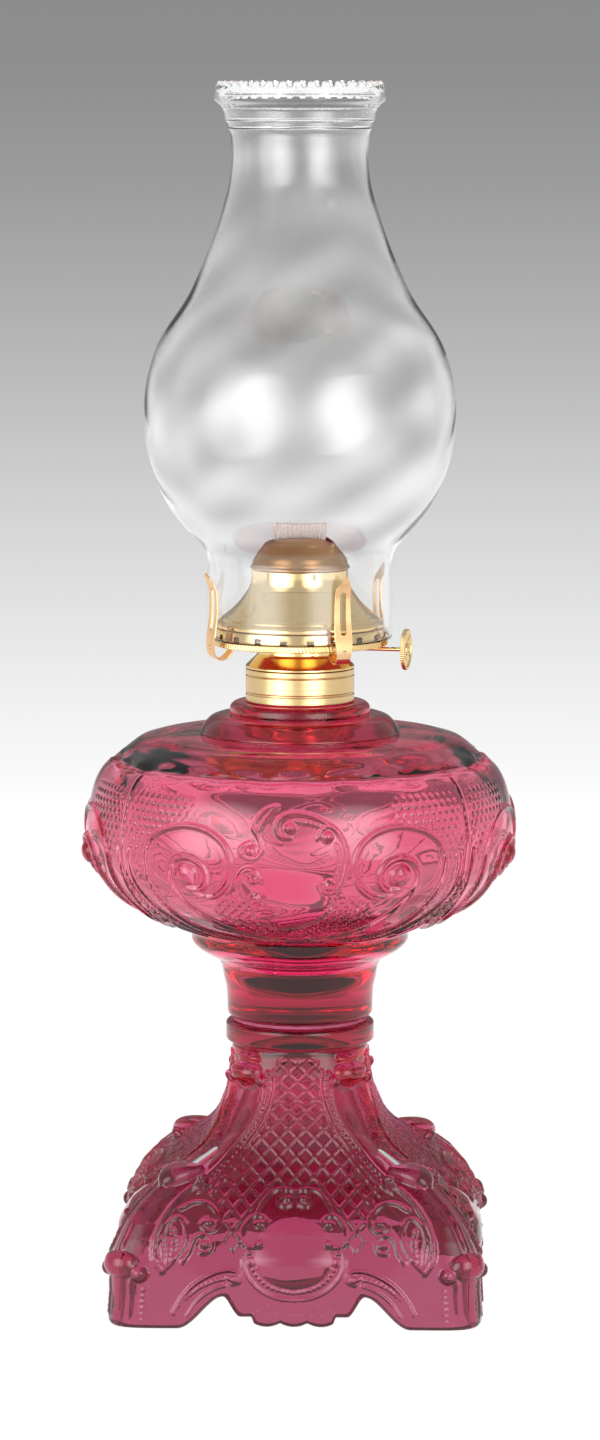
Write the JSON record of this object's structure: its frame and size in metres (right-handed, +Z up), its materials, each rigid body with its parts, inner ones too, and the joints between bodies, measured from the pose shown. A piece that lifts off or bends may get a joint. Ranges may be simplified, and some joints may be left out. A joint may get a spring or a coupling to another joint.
{
  "type": "oil lamp",
  "caption": "Kerosene table lamp: square footed pressed-glass base, round embossed font, brass flat-wick burner with spring prongs and a clear bulbous chimney.",
  "frame": {"origin": "on the lamp's axis, in the plane that the four feet stand on", "axes": "+Z up along the lamp's axis; the front face of the base looks along -Y; +X is to the right, on the winder knob's side"},
  "size_m": [0.1772, 0.1772, 0.5],
  "materials": {
    "cranberry_glass": "stained pressed glass, gloss",
    "clear_glass": "clear blown glass, gloss",
    "polished_brass": "polished, lacquered",
    "satin_brass": "satin, spun",
    "spring_brass": "polished spring brass, redder and lacquered",
    "cotton": "woven flat cotton wick",
    "cement": "matte plaster cement"
  },
  "bodies": {
    "stand": {"glass_base": "cranberry_glass", "joint_cement": "cement", "glass_font": "cranberry_glass", "collar_cement": "cement", "brass_collar": "satin_brass"},
    "burner": {"burner_body": "polished_brass", "burner_floor": "polished_brass", "gallery_ring": "polished_brass", "air_plate": "polished_brass", "deflector_skirt": "polished_brass", "deflector_dome": "polished_brass", "wick_tube": "polished_brass", "shaft_sleeve": "polished_brass"},
    "chimney": {"chimney": "clear_glass"},
    "winder": {"winder_shaft": "polished_brass", "spur_wheel_inner": "polished_brass", "spur_wheel_outer": "polished_brass", "winder_knob": "polished_brass"},
    "wick": {"wick": "cotton"},
    "prong_1": {"prong_1": "spring_brass"},
    "prong_2": {"prong_2": "spring_brass"},
    "prong_3": {"prong_3": "spring_brass"},
    "prong_4": {"prong_4": "spring_brass"}
  },
  "joints": [
    {"name": "burner_lift", "type": "slide", "parent": "stand", "child": "burner", "axis": [0, 0, 1], "range_m": [0, 0.12]},
    {"name": "chimney_lift", "type": "slide", "parent": "burner", "child": "chimney", "axis": [0, 0, 1], "range_m": [0, 0.06]},
    {"name": "winder_turn", "type": "hinge", "parent": "burner", "child": "winder", "pos_m": [0.0009, 0.00461, 0.2683], "axis": [0.9816, -0.1908, 0], "range_deg": [-100, 160]},
    {"name": "wick_raise", "type": "slide", "parent": "burner", "child": "wick", "axis": [0, 0, 1], "range_m": [-0.0097, 0.0061]},
    {"name": "prong_1_flex", "type": "hinge", "parent": "burner", "child": "prong_1", "pos_m": [0.01512, -0.02843, 0.2692], "axis": [0.8829, 0.4695, 0], "range_deg": [0, 7], "stiffness_Nm_per_rad": 0.4},
    {"name": "prong_2_flex", "type": "hinge", "parent": "burner", "child": "prong_2", "pos_m": [0.02669, 0.01801, 0.2692], "axis": [-0.5592, 0.829, 0], "range_deg": [0, 7], "stiffness_Nm_per_rad": 0.4},
    {"name": "prong_3_flex", "type": "hinge", "parent": "burner", "child": "prong_3", "pos_m": [-0.01512, 0.02843, 0.2692], "axis": [-0.8829, -0.4695, 0], "range_deg": [0, 7], "stiffness_Nm_per_rad": 0.4},
    {"name": "prong_4_flex", "type": "hinge", "parent": "burner", "child": "prong_4", "pos_m": [-0.02843, -0.01512, 0.2692], "axis": [0.4695, -0.8829, 0], "range_deg": [0, 7], "stiffness_Nm_per_rad": 0.4}
  ],
  "couplings": [
    {"joint": "winder_turn", "follows": "wick_raise", "rad_per_m": -285.71}
  ]
}
